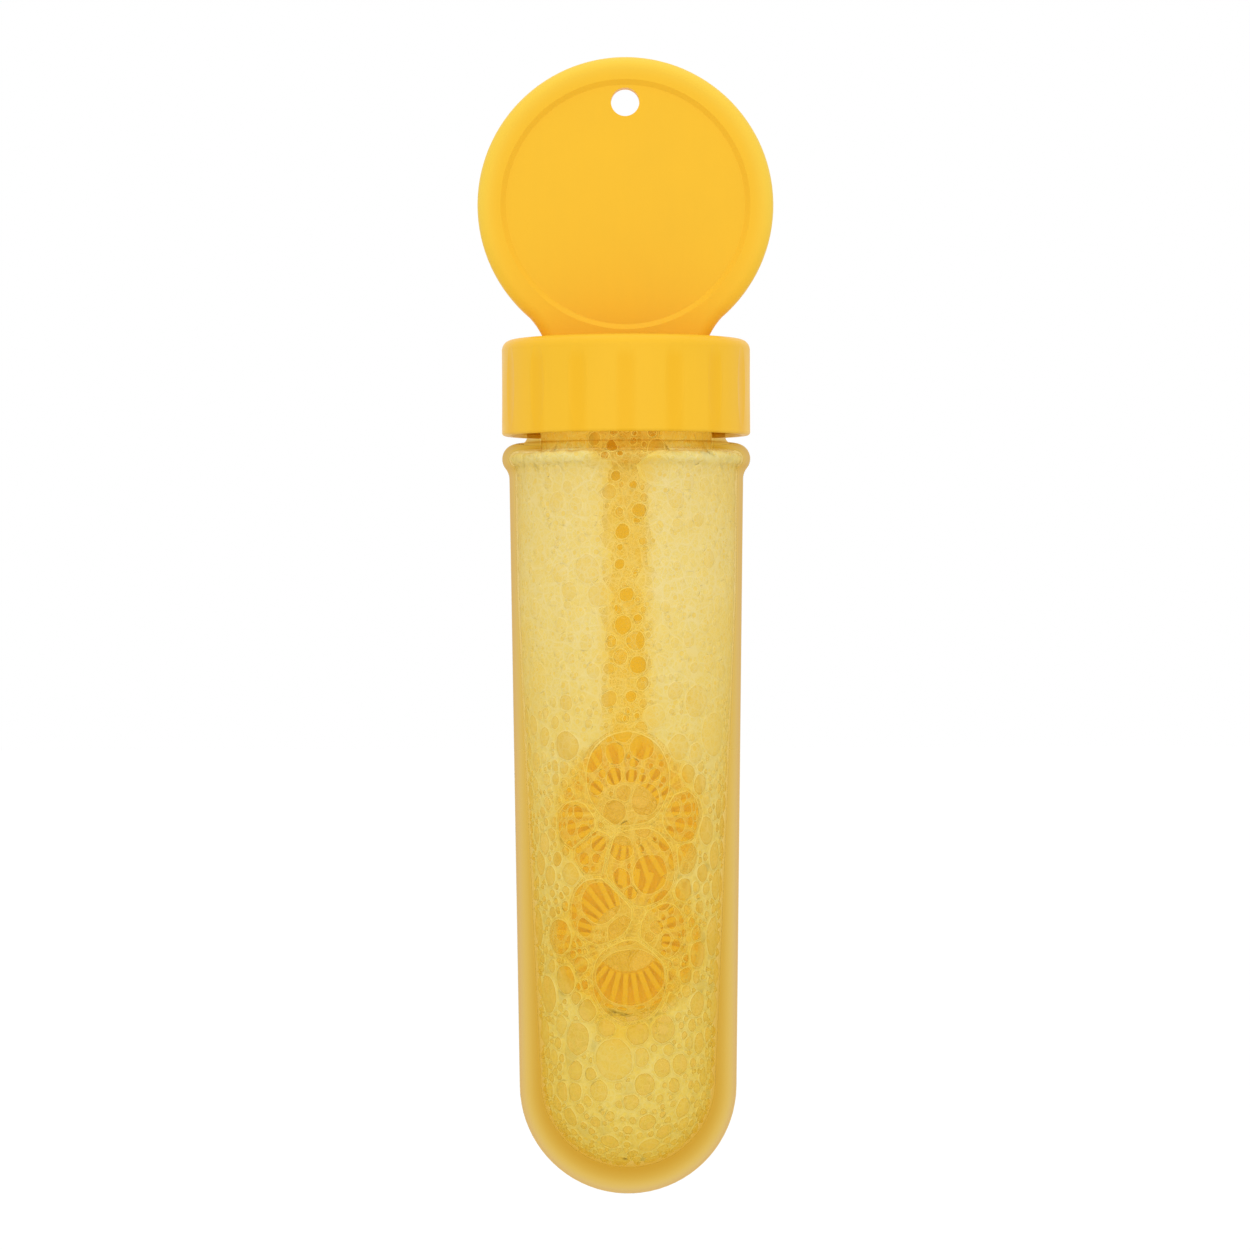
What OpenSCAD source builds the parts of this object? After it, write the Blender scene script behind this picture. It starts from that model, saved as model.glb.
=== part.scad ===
// Bubble wand bottle: a round-bottomed tube of soap foam, closed by a screw cap
// whose tag is the handle of a two-ring wand.
// The Z axis is the tube's own axis, and the origin is the lowest point of its bottom.

/* [Tube] */
// Radius of the round bottom
bottom_r = 12.6; // [11:0.1:16]
// Draft of the body's outer side, in degrees
body_draft = 0.8; // [0:0.1:1.5]
// Height of the bead's middle above the bottom
bead_z = 85.3; // [75:0.5:120]
// How far the bead stands out of the body
bead_out = 0.8; // [0.4:0.1:2]
// Radius of the bead's round section
bead_round = 1.75; // [1.2:0.05:2.5]
// Radius of the fillet between the body and the bead
bead_fillet = 2; // [0.8:0.1:3]
// Wall thickness where the body meets the round bottom
wall_low = 2.45; // [1.2:0.05:3]
// Wall thickness in the upper body
wall_high = 0.7; // [0.6:0.05:1.6]
// Length of the stretch over which the wall thins
thinning_l = 57; // [30:1:62]
// Thickness of the bottom, on the axis
floor_t = 3.0; // [1.5:0.1:5]
// Wall thickness of the hollow bead and of the shoulder under the neck
shoulder_t = 0.8; // [0.6:0.05:1.1]

/* [Neck] */
// Wall thickness of the neck
neck_wall = 1.4; // [1:0.1:2]
// Height that the screw thread stands out of the neck
thread_h = 1.2; // [0.6:0.1:1.4]
// Rounding of the lip
lip_round = 0.4; // [0.2:0.1:0.6]
// Radius of the fillet between the neck and the shoulder
neck_fillet = 0.85; // [0.3:0.05:0.9]

/* [Cap] */
// Height of the cap
cap_h = 11.1; // [9:0.1:16]
// Wall thickness of the cap's skirt
cap_wall = 1.35; // [1.1:0.05:2]
// Thickness of the cap's top
cap_top_t = 1.5; // [1:0.1:2.5]
// Rounding of the cap's upper edge
cap_round = 1.2; // [0.4:0.1:1.4]
// Rounding of the cap's lower edge
cap_rim_round = 0.35; // [0.2:0.05:0.5]
// Space between the tube's shoulder and the cap
cap_lift = 0.95; // [0.4:0.05:2]
// Space between the thread's crest and the skirt
thread_gap = 0.35; // [0.2:0.05:0.5]
// Number of grip flutes round the cap
flute_n = 16; // [8:1:24]
// Depth of a flute in its middle
flute_depth = 0.12; // [0.06:0.02:0.5]
// Radius of a flute's hollow
flute_r = 9; // [1:0.1:12]
// Smooth band left above and below the flutes
flute_end = 0.7; // [0.5:0.1:2]
// Wall thickness of the wand's socket
socket_wall = 1.6; // [1:0.1:2.5]
// Depth of the wand's socket
socket_l = 12.9; // [4:0.1:16]

/* [Tag] */
// Radius of the round tag
tag_r = 17.2; // [14:0.1:22]
// Thickness of the tag
tag_t = 3.0; // [2:0.1:4]
// Rounding of the tag's edge
tag_round = 1.35; // [0.5:0.05:1.8]
// How far the tag's round runs down into the cap's top
tag_sink = 1.5; // [0.8:0.1:3]
// Radius of the hollow flares at the tag's foot
flare_r = 9; // [4:0.1:12]
// Depth of the flares' centres below the cap's top
flare_drop = 3.45; // [1:0.05:5]
// Radius of the sunk panel
panel_r = 13.9; // [10:0.1:14.5]
// Depth of the sunk panel on each face
panel_depth = 0.4; // [0.2:0.05:0.7]
// Width of the slope round the panel
panel_slope = 0.6; // [0.3:0.1:1.2]
// Radius of the hang hole
hole_r = 1.65; // [1:0.05:2.5]
// Distance of the hang hole above the tag's middle
hole_rise = 11.9; // [8:0.1:12]

/* [Wand] */
// Radius of the wand's stem
stem_r = 2.2; // [1.4:0.1:2.6]
// Space between the rings and the neck's bore
ring_gap = 1.9; // [1:0.05:3]
// Width of the lower ring's band
lower_band = 4.2; // [2.5:0.1:5]
// Width of the upper ring's band
upper_band = 4.5; // [2.5:0.1:5]
// How far the two rings run into each other
ring_overlap = 2.0; // [1:0.1:4]
// Thickness of a ring without its ridges
ring_t = 2.4; // [1.6:0.1:3.5]
// Height of the ridges on each face of a ring
ridge_h = 0.7; // [0.3:0.1:1.2]
// Width of a ridge
ridge_w = 0.6; // [0.4:0.05:1]
// Distance between ridges, along the middle of the band
ridge_pitch = 1.25; // [1.1:0.05:2]
// Radius of the flares between the stem and the upper ring
web_r = 5; // [3:0.1:8]
// Space below the wand, above the tube's inner bottom
wand_floor_gap = 18.4; // [8:0.1:24]

/* [Seal and foam] */
// Thickness of the seal washer
seal_t = 1.0; // [0.6:0.1:2]
// Space under the tube's shoulder that the foam leaves free
foam_headroom = 0.3; // [0.2:0.1:5]
// Room round the wand in the foam
foam_room = 0.3; // [0.2:0.05:0.6]

/* [Fits] */
// Clearance of a push fit, on the radius
push_fit = 0.03; // [0.01:0.01:0.1]
// Clearance between faces that seat on each other
seat_gap = 0.05; // [0.02:0.01:0.1]
// Clearance of the washer inside the cap, on the radius
washer_gap = 0.15; // [0.1:0.05:0.3]

/* [Hidden] */
$fn = 96;
overcut = 1;
flare_bite = 0.05;

// Tube
function body_r(z) = bottom_r / cos(body_draft) + (z - bottom_r) * tan(body_draft);
bead_r = body_r(bead_z) + bead_out;
shoulder_z = bead_z + bead_round;
body_foot_z = bottom_r * (1 - sin(body_draft));
inner_bottom_r = bottom_r - wall_low;
inner_foot_z = floor_t + inner_bottom_r;
thinning_z = inner_foot_z + thinning_l;
inner_shoulder_z = shoulder_z - shoulder_t;
function inner_r(z) = body_r(z) - wall_high;

// Fillet under the bead: a circle that touches the body's side and the bead
bead_at = [bead_r - bead_round, bead_z];
fillet_side = (bead_round - bead_out) * cos(body_draft) + bead_fillet;
fillet_down = sqrt(pow(bead_round + bead_fillet, 2) - pow(fillet_side, 2));
fillet_at = bead_at + [
    fillet_side * cos(body_draft) - fillet_down * sin(body_draft),
    -fillet_side * sin(body_draft) - fillet_down * cos(body_draft)
];
fillet_low = fillet_at + bead_fillet * [-cos(body_draft), sin(body_draft)];
fillet_high = bead_at + (fillet_at - bead_at) * bead_round / (bead_round + bead_fillet);

// Cap, flush with the bead and measured up from the tube's shoulder
cap_z = shoulder_z + cap_lift;
cap_r = bead_r;
cap_bore_r = cap_r - cap_wall;
cap_top_z = cap_z + cap_h;
ceiling_z = cap_top_z - cap_top_t;
seal_z = ceiling_z - seat_gap - seal_t;
lip_z = seal_z - seat_gap;
neck_r = cap_bore_r - thread_gap - thread_h;
neck_bore_r = neck_r - neck_wall;
socket_bore_r = stem_r + push_fit;
socket_r = socket_bore_r + socket_wall;
mouth_chamfer = 0.4;
// Bulge of a flute's cutter, which runs out at both ends of the flute
flute_l = cap_h - 2 * flute_end;
flute_bulge_r = (pow(flute_l / 2, 2) + pow(flute_depth, 2)) / (2 * flute_depth);

// Tag
tag_rise = tag_r - tag_sink;
tag_z = cap_top_z + tag_rise;
tag_root_z = cap_top_z - cap_top_t / 2;
tag_edge_r = min(tag_round, tag_t / 2 - 0.05);
panel_wall_r = panel_r + panel_slope;

// Wand
ring_r = neck_bore_r - ring_gap;
lower_ring_z = floor_t + wand_floor_gap + ring_r;
upper_ring_z = lower_ring_z + 2 * ring_r - ring_overlap;
stem_top_z = ceiling_z - seat_gap;
stem_foot_z = upper_ring_z + ring_r;
web_rise = sqrt(pow(ring_r + web_r - flare_bite, 2) - pow(stem_r + web_r, 2));
web_round = 0.6;
stem_chamfer = 0.5;

// Foam
foam_gap = 0.1;
foam_top_z = inner_shoulder_z - foam_headroom;
well_r = ring_r + foam_room;
well_z = lower_ring_z - ring_r - foam_room;

// Square corner less a quarter round, to cut from a profile's outer corner
module corner_cut(r, sx, sy) {
    mirror([sx < 0 ? 1 : 0, 0]) mirror([0, sy < 0 ? 1 : 0])
        difference() {
            square(r + overcut);
            circle(r);
        }
}

// Outside of the tube as a half profile
module tube_outside() {
    intersection() {
        translate([0, bottom_r]) circle(bottom_r);
        square([2 * bottom_r, body_foot_z]);
    }
    polygon([
        [0, body_foot_z], [bottom_r * cos(body_draft), body_foot_z],
        [body_r(bead_z), bead_z], [0, bead_z]
    ]);
    difference() {
        polygon([[0, fillet_low[1]], fillet_low, fillet_high, [0, fillet_high[1]]]);
        translate(fillet_at) circle(bead_fillet);
    }
    translate(bead_at) circle(bead_round);
    translate([0, bead_z - bead_round]) square([bead_at[0], 2 * bead_round]);
    difference() {
        translate([0, bead_z]) square([neck_r + neck_fillet, bead_round + neck_fillet]);
        translate([neck_r + neck_fillet, shoulder_z + neck_fillet]) circle(neck_fillet);
    }
    difference() {
        translate([0, bead_z]) square([neck_r, lip_z - bead_z]);
        translate([neck_r - lip_round, lip_z - lip_round]) corner_cut(lip_round, 1, 1);
    }
}

// Hollow of the tube as a half profile, drawn in by a clearance
module tube_hollow(inset) {
    floor_r = inner_bottom_r - inset;
    hollow_round = bead_round - shoulder_t - inset;
    intersection() {
        translate([0, inner_foot_z]) circle(floor_r);
        square([bottom_r, inner_foot_z]);
    }
    polygon([
        [0, inner_foot_z], [floor_r, inner_foot_z],
        [inner_r(thinning_z) - inset, thinning_z], [inner_r(bead_z) - inset, bead_z], [0, bead_z]
    ]);
    translate(bead_at) circle(hollow_round);
    translate([0, bead_z - hollow_round]) square([bead_at[0], 2 * hollow_round]);
    translate([0, bead_z]) square([neck_bore_r - inset, lip_z + overcut - bead_z]);
}

module tube() {
    color([0.93, 0.78, 0.32, 0.45])
        rotate_extrude()
            difference() {
                tube_outside();
                tube_hollow(0);
            }
}

// Half profile of the cap with its rounded edges, less the hollow for the neck
module cap_profile() {
    difference() {
        square([cap_r, cap_h]);
        translate([cap_r - cap_round, cap_h - cap_round]) corner_cut(cap_round, 1, 1);
        translate([cap_r - cap_rim_round, cap_rim_round]) corner_cut(cap_rim_round, 1, -1);
        translate([0, -overcut]) square([cap_bore_r, cap_h - cap_top_t + overcut]);
        polygon([
            [0, -overcut], [cap_bore_r + mouth_chamfer + overcut, -overcut],
            [cap_bore_r, mouth_chamfer], [0, mouth_chamfer]
        ]);
    }
}

// Cutter of one hollow of the grip: a long barrel that stands beside the cap
module flute() {
    rotate_extrude()
        intersection() {
            translate([flute_r - flute_bulge_r, 0]) circle(flute_bulge_r, $fn = 720);
            translate([0, -flute_l / 2 - overcut]) square([flute_r, flute_l + 2 * overcut]);
        }
}

// Half profile of the tag round its own axis, with its rounded edge
module tag_profile() {
    half_t = tag_t / 2;
    difference() {
        translate([0, -half_t]) square([tag_r, tag_t]);
        for (side = [-1, 1])
            translate([tag_r - tag_edge_r, side * (half_t - tag_edge_r)])
                corner_cut(tag_edge_r, 1, side);
    }
}

// Half profile of the hollow for a sunk panel, from its floor outwards
module panel_profile() {
    floor_y = tag_t / 2 - panel_depth;
    polygon([
        [0, floor_y], [panel_r, floor_y],
        [panel_wall_r, tag_t / 2], [panel_wall_r, tag_t / 2 + overcut],
        [0, tag_t / 2 + overcut]
    ]);
}

// Round cutter for a hollow flare, which leaves a plate of thickness t with rounded edges
module flare_cutter(r, t, edge_r) {
    rotate([90, 0, 0])
        rotate_extrude()
            difference() {
                translate([0, -t / 2 - overcut]) square([r + edge_r, t + 2 * overcut]);
                plate_edge(r, t, edge_r);
            }
}

// Half profile of the plate's rounded edge, seen from the flare's centre
module plate_edge(r, t, edge_r) {
    translate([r, edge_r - t / 2]) square([edge_r + overcut, t - 2 * edge_r]);
    for (side = [-1, 1])
        translate([r + edge_r, side * (t / 2 - edge_r)]) circle(edge_r);
}

// Foot that joins a plate's round rim to what carries it, standing on z = 0.
// rim_r and rim_z give the rim. The flares' centres lie drop below the foot, and each flare
// runs into the rim by the bite, so that the two round edges cross.
module flared_foot(rim_r, rim_z, r, drop, t, edge_r) {
    centre_x = sqrt(pow(rim_r + r - flare_bite, 2) - pow(rim_z + drop, 2));
    foot_x = centre_x * rim_z / (rim_z + drop);
    difference() {
        rotate([90, 0, 0])
            linear_extrude(t, center = true)
                polygon([[-foot_x, 0], [foot_x, 0], [0, rim_z]]);
        for (side = [-1, 1])
            translate([side * centre_x, 0, -drop]) flare_cutter(r, t, edge_r);
    }
}

module tag() {
    difference() {
        union() {
            translate([0, 0, cap_top_z])
                flared_foot(tag_r, tag_rise, flare_r, flare_drop, tag_t, tag_edge_r);
            translate([0, 0, tag_z]) rotate([90, 0, 0]) rotate_extrude() tag_profile();
        }
        translate([-tag_r, -tag_t, tag_root_z - 2 * tag_r]) cube([2 * tag_r, 2 * tag_t, 2 * tag_r]);
        for (face = [0, 180])
            translate([0, 0, tag_z]) rotate([90 + face, 0, 0]) rotate_extrude() panel_profile();
    }
}

module screw_cap() {
    color([0.97, 0.74, 0.17])
        difference() {
            union() {
                translate([0, 0, cap_z]) rotate_extrude() cap_profile();
                translate([0, 0, ceiling_z - socket_l])
                    cylinder(r = socket_r, h = socket_l + cap_top_t / 2);
                tag();
            }
            translate([0, 0, ceiling_z - socket_l - overcut])
                cylinder(r = socket_bore_r, h = socket_l + overcut);
            for (i = [0 : flute_n - 1])
                rotate([0, 0, i * 360 / flute_n - 90])
                    translate([cap_r + flute_r - flute_depth, 0, cap_z + cap_h / 2]) flute();
            translate([0, tag_t, tag_z + hole_rise])
                rotate([90, 0, 0]) cylinder(r = hole_r, h = 2 * tag_t);
        }
}

// Flat ring in the XZ plane with radial ridges on both faces
module ridged_ring(r, band) {
    middle_r = r - band / 2;
    count = round(2 * PI * middle_r / ridge_pitch);
    rotate([90, 0, 0]) {
        linear_extrude(ring_t, center = true) ring_outline(r, band);
        linear_extrude(ring_t + 2 * ridge_h, center = true)
            intersection() {
                ring_outline(r, band);
                for (i = [0 : count - 1])
                    rotate(i * 360 / count) translate([0, -ridge_w / 2]) square([r + overcut, ridge_w]);
            }
    }
}

module ring_outline(r, band) {
    difference() {
        circle(r);
        circle(r - band);
    }
}

module bubble_wand() {
    color([0.95, 0.68, 0.13]) {
        translate([0, 0, lower_ring_z]) ridged_ring(ring_r, lower_band);
        translate([0, 0, upper_ring_z]) ridged_ring(ring_r, upper_band);
        difference() {
            translate([0, 0, upper_ring_z + web_rise]) mirror([0, 0, 1])
                flared_foot(ring_r, web_rise, web_r, 0, ring_t, web_round);
            translate([0, ring_t, upper_ring_z])
                rotate([90, 0, 0]) cylinder(r = ring_r - upper_band / 2, h = 2 * ring_t);
        }
        rotate_extrude() stem_profile();
    }
}

// Half profile of the stem, with a round lower end and a chamfered upper one
module stem_profile() {
    polygon([
        [0, stem_foot_z], [stem_r, stem_foot_z], [stem_r, stem_top_z - stem_chamfer],
        [stem_r - stem_chamfer, stem_top_z], [0, stem_top_z]
    ]);
    intersection() {
        translate([0, stem_foot_z]) circle(stem_r);
        translate([0, stem_foot_z - stem_r]) square(stem_r);
    }
}

// Disc with a hole for the wand's socket, lying on the cap's ceiling
module seal_washer() {
    color([0.95, 0.93, 0.86])
        translate([0, 0, seal_z])
            difference() {
                cylinder(r = cap_bore_r - washer_gap, h = seal_t);
                translate([0, 0, -overcut]) cylinder(r = socket_r + washer_gap, h = seal_t + 2 * overcut);
            }
}

// Foam that lines the tube and fills its bottom, with a round well where the wand turns and lifts
module soap_foam() {
    color([0.93, 0.86, 0.55])
        rotate_extrude()
            difference() {
                intersection() {
                    tube_hollow(foam_gap);
                    square([bead_r, foam_top_z]);
                }
                translate([0, well_z]) square([well_r, foam_top_z - well_z + overcut]);
            }
}

tube();
screw_cap();
bubble_wand();
seal_washer();
soap_foam();
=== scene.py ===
"""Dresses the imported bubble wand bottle: clear tube, soap foam, cap, wand, threads and stage."""

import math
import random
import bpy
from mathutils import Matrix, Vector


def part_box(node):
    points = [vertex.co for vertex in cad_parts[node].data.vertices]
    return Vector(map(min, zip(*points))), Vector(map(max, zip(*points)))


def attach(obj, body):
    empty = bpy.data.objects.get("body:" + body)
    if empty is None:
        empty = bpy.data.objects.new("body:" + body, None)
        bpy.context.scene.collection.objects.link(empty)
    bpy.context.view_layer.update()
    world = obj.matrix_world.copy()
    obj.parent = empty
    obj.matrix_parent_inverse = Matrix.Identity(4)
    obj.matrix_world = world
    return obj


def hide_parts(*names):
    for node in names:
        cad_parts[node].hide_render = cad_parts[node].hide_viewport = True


bl_info = {
    "name": "Bubble Wand Bottle",
    "version": (1, 0, 0),
    "blender": (4, 5, 0),
    "location": "3D View > Sidebar > Bubble Bottle",
    "description": "Dresses the packed bottle with plastics, threads and soap foam, and sets its stage",
    "category": "Object",
}

from dataclasses import dataclass

import bmesh
import bpy
import numpy as np
from bpy.props import FloatProperty, FloatVectorProperty, IntProperty, PointerProperty
from mathutils import Matrix, Vector

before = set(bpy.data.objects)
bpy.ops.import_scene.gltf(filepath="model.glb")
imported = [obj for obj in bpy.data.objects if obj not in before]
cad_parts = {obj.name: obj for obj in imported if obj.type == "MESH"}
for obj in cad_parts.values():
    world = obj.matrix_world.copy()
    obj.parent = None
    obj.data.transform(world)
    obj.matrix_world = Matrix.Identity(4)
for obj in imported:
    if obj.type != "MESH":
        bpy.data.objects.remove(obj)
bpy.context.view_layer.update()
MM = 0.001
TINY = 1e-12


def from_screen(red, green, blue):
    """Linear colour of a screen colour given from 0 to 255."""
    return tuple(
        v / 12.92 if v <= 0.04045 else ((v + 0.055) / 1.055) ** 2.4
        for v in (red / 255, green / 255, blue / 255)
    )


def tint_prop(name, description, *colour):
    """Colour property whose default is linear."""
    return FloatVectorProperty(
        name=name, description=description, subtype="COLOR", size=3, min=0, max=1, default=colour
    )


def colour_prop(name, description, *screen):
    """Colour property whose default is a screen colour, from 0 to 255."""
    return tint_prop(name, description, *from_screen(*screen))


def number_prop(name, description, default, **limits):
    """Number property that is never negative."""
    return FloatProperty(name=name, description=description, default=default, min=0, **limits)


def length_prop(name, description, default):
    """Length property whose default is in millimetres."""
    return number_prop(name, description, default * MM, unit="LENGTH", precision=5)


class BottlePlastics(bpy.types.PropertyGroup):
    """Colours and finishes of the moulded pieces."""

    cap_colour: colour_prop("Cap", "Colour of the cap and its tag", 244, 190, 46)
    # Painted light on the tag's rim: lighter towards its top, for light from above and through the thin
    # edge.
    rim_light_colour: colour_prop("Tag rim", "Colour of the tag's rim, which light passes", 244, 204, 72)
    # Painted shade in the hollows of the flutes.
    flute_shade_colour: colour_prop("Flutes", "Colour of the cap in the hollows of its flutes", 242, 185, 37)
    flutes: IntProperty(name="Flutes", description="Number of flutes round the cap", default=16, min=1)
    glow: tint_prop("Cap glow", "Colour of lamplight that has passed a face of the cap", 0.97, 0.74, 0.3)
    wand_colour: colour_prop("Wand", "Colour of the wand", 254, 215, 72)
    seal_colour: colour_prop("Seal", "Colour of the seal washer", 236, 232, 220)
    skin_tint: tint_prop(
        "Tube skin tint", "Colour of light that has passed through the tube's wall", 0.97, 0.93, 0.85
    )
    edge_tint: tint_prop(
        "Tube edge tint", "Colour of light that has grazed the tube's wall", 0.58, 0.32, 0.08
    )
    tint: tint_prop("Tube tint", "Colour that long ways through the plastic take on", 0.892, 0.756, 0.2)
    tint_depth: number_prop("Tint depth", "Strength of the tint per metre of plastic", 262)
    gloss: number_prop("Roughness", "Roughness of the moulded plastic", 0.36, max=1)


class BottleThreads(bpy.types.PropertyGroup):
    """Screw threads of the neck and of the cap."""

    pitch: length_prop("Pitch", "Rise of the thread in one turn", 3.0)
    height: length_prop("Height", "Height of a thread above its wall", 0.6)
    width: length_prop("Width", "Width of a thread at its foot", 1.3)
    turns: FloatProperty(name="Turns", description="Turns of the thread", default=1.4, min=0.5, max=3)


class BottleFoam(bpy.types.PropertyGroup):
    """Soap foam in the tube."""

    seed: IntProperty(name="Seed", description="Start of the bubbles' random places", default=11)
    relief: length_prop("Relief", "Depth of the hollows between bubbles high on the wall", 0.13)
    low_relief: length_prop("Low relief", "Depth of the hollows between bubbles low on the wall", 0.7)
    neck_rise: length_prop("Neck rise", "How far the foam stands up into the tube's neck", 4.0)
    outline: length_prop("Outline", "Width of the pale outline of a bubble", 0.12)
    fine_colour: colour_prop("Fine foam", "Colour of the fine foam", 255, 252, 183)
    film_colour: colour_prop("Film", "Colour of the film over a bubble", 255, 241, 151)
    border_colour: colour_prop("Border", "Colour of the outlines of bubbles", 255, 255, 214)
    film_tint: tint_prop("Film tint", "Colour of what is seen through one film", 1.0, 0.93, 0.72)
    high_tint: tint_prop(
        "High tint", "Colour that the foam's own is multiplied by at the top", 0.938, 0.853, 0.77
    )
    # Painted orange glow of the wand's light through the foam and of the cap's light in the neck.
    painted_glow_tint: tint_prop(
        "Wand tint", "Colour that the foam's own is multiplied by round the wand", 1.0, 0.88, 0.48
    )
    film_cover: number_prop("Film cover", "How much the films before the wand hide", 0.13, max=1)


class BottleStage(bpy.types.PropertyGroup):
    """Camera, lamps and floor."""

    distance: length_prop("Distance", "Distance of the camera from the tube's axis", 570)
    height: length_prop("Height", "Height of the camera and of the picture's middle", 66)
    span: length_prop("Span", "Width of the picture at the tube's axis", 145.3)
    roll: FloatProperty(name="Roll", description="Roll of the camera", default=-0.0031, subtype="ANGLE")
    floor_drop: length_prop("Floor drop", "Space between the hanging bottle and the floor", 100)
    dome: number_prop("Dome", "Light from all round", 0.89)
    top: number_prop("Top lamp", "Power of the soft lamp above", 0.5)
    front: number_prop("Front lamp", "Power of the soft lamp in front", 1.25)


def between(low, high, share):
    """Value that goes from low to high with the share."""
    return low + (high - low) * share


def settings(name):
    """Property group of the scene."""
    return getattr(bpy.context.scene, name)


def add_node(tree, kind, inputs=None, **options):
    """Outputs of a new shader node, whose inputs are each given a value or a socket to link from."""
    node = tree.nodes.new("ShaderNode" + kind)
    for name, value in options.items():
        setattr(node, name, value)
    for name, value in (inputs or {}).items():
        if isinstance(value, bpy.types.NodeSocket):
            tree.links.new(value, node.inputs[name])
        else:
            node.inputs[name].default_value = value
    return node.outputs


def follow(kind, inputs, **options):
    """Outputs of a new shader node in the tree of the sockets that it links from."""
    tree = next(v.id_data for v in inputs.values() if isinstance(v, bpy.types.NodeSocket))
    return add_node(tree, kind, inputs, **options)


def maths(operation, *values):
    """Output of a Math node on values or sockets."""
    return follow("Math", dict(enumerate(values)), operation=operation)[0]


def times(first, second):
    """Product of two values or sockets."""
    return maths("MULTIPLY", first, second)


def sloped(value, slope, start):
    """Value times a slope, and a start added."""
    return maths("MULTIPLY_ADD", value, slope, start)


def rest(value):
    """What a value or socket leaves of 1."""
    return maths("SUBTRACT", 1.0, value)


def stepped(value, low, high):
    """Value brought smoothly from 0 at low to 1 at high."""
    inputs = {"Value": value, "From Min": low, "From Max": high}
    return follow("MapRange", inputs, interpolation_type="SMOOTHSTEP")["Result"]


def noise(place, scale, detail, output="Fac"):
    """Output of a Noise Texture with about so many features per metre."""
    return follow("TexNoise", {"Vector": place, "Scale": scale, "Detail": detail})[output]


def voronoi(place, scale, feature="DISTANCE_TO_EDGE"):
    """Outputs of a Voronoi Texture with so many cells per metre."""
    return follow("TexVoronoi", {"Vector": place, "Scale": scale}, feature=feature)


def mixed(factor, first, second):
    """Shader that goes from first to second with the factor."""
    return follow("MixShader", {0: factor, 1: first, 2: second})[0]


def let_light_in(seen, tint, rays=("Is Diffuse Ray", "Is Shadow Ray")):
    """Shader as it is seen, that light on these kinds of rays goes straight through with a tint."""
    path = add_node(seen.id_data, "LightPath")
    open_way = add_node(seen.id_data, "BsdfTransparent", {"Color": (*tint, 1)})[0]
    for ray in rays:
        seen = mixed(path[ray], seen, open_way)
    return seen


def blended(factor, first, second):
    """Colour that goes from first to second with the factor."""
    first, second = ((*c, 1) if isinstance(c, tuple) else c for c in (first, second))
    return follow("Mix", {0: factor, 6: first, 7: second}, data_type="RGBA")[2]


def new_group(name, inputs, outputs):
    """New shader group's tree, inputs and outputs, from the kinds of its sockets."""
    tree = bpy.data.node_groups.new(name, "ShaderNodeTree")
    for side, sockets in (("INPUT", inputs), ("OUTPUT", outputs)):
        for label, kind in sockets.items():
            tree.interface.new_socket(label, in_out=side, socket_type="NodeSocket" + kind)
    return tree, tree.nodes.new("NodeGroupInput").outputs, tree.nodes.new("NodeGroupOutput").inputs


def new_material(name):
    """Empty material and its node tree."""
    material = bpy.data.materials.new(name)
    material.use_nodes = True
    material.node_tree.nodes.clear()
    return material, material.node_tree


def moulded_group():
    """Faint flow marks, mottle and grain of moulded plastic."""
    name = "moulded plastic"
    if name in bpy.data.node_groups:
        return bpy.data.node_groups[name]
    tree, given, made = new_group(
        name,
        {"Colour": "Color", "Mottle": "Float", "Roughness": "Float"},
        {"Colour": "Color", "Roughness": "Float", "Height": "Float"},
    )
    cloud_scale, flow_scale, grain_scale = 130.0, 900.0, 5200.0
    flow_stretch, flow_tone, rough_swing = (1.0, 1.0, 0.18), 0.5, 0.22
    flow_height, grain_height = 0.6, 0.4

    place = add_node(tree, "TexCoord")["Object"]
    cloud = noise(place, cloud_scale, 3.0)
    stretched = follow("Mapping", {"Vector": place, "Scale": flow_stretch})[0]
    flow = noise(stretched, flow_scale, 2.0)
    grain = noise(place, grain_scale, 1.0)
    tone = maths("SUBTRACT", cloud, 0.5)
    tone = sloped(maths("SUBTRACT", flow, 0.5), flow_tone, tone)
    gain = sloped(tone, given["Mottle"], 1.0)
    colour = follow("VectorMath", {0: given["Colour"], "Scale": gain}, operation="SCALE")
    tree.links.new(colour[0], made["Colour"])
    rough = sloped(tone, rough_swing, given["Roughness"])
    tree.links.new(rough, made["Roughness"])
    height = sloped(flow, flow_height, times(grain, grain_height))
    tree.links.new(height, made["Height"])
    return tree


def moulded_material(name, colour, roughness, mottle=0.05, bump=0.02, shine=0.35):
    """Opaque moulded plastic. The bump is the height of its flow marks and grain in millimetres."""
    material, tree = new_material(name)
    group = add_node(
        tree, "Group", {"Colour": (*colour, 1), "Mottle": mottle, "Roughness": roughness},
        node_tree=moulded_group(),
    )
    lift = follow("Bump", {"Height": group["Height"], "Strength": 0.25, "Distance": bump * MM})
    shader = follow("BsdfPrincipled", {
        "Base Color": group["Colour"], "Roughness": group["Roughness"], "Normal": lift[0],
        "IOR": 1.49, "Specular IOR Level": shine,
    })
    follow("OutputMaterial", {"Surface": shader[0]})
    return material


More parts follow.
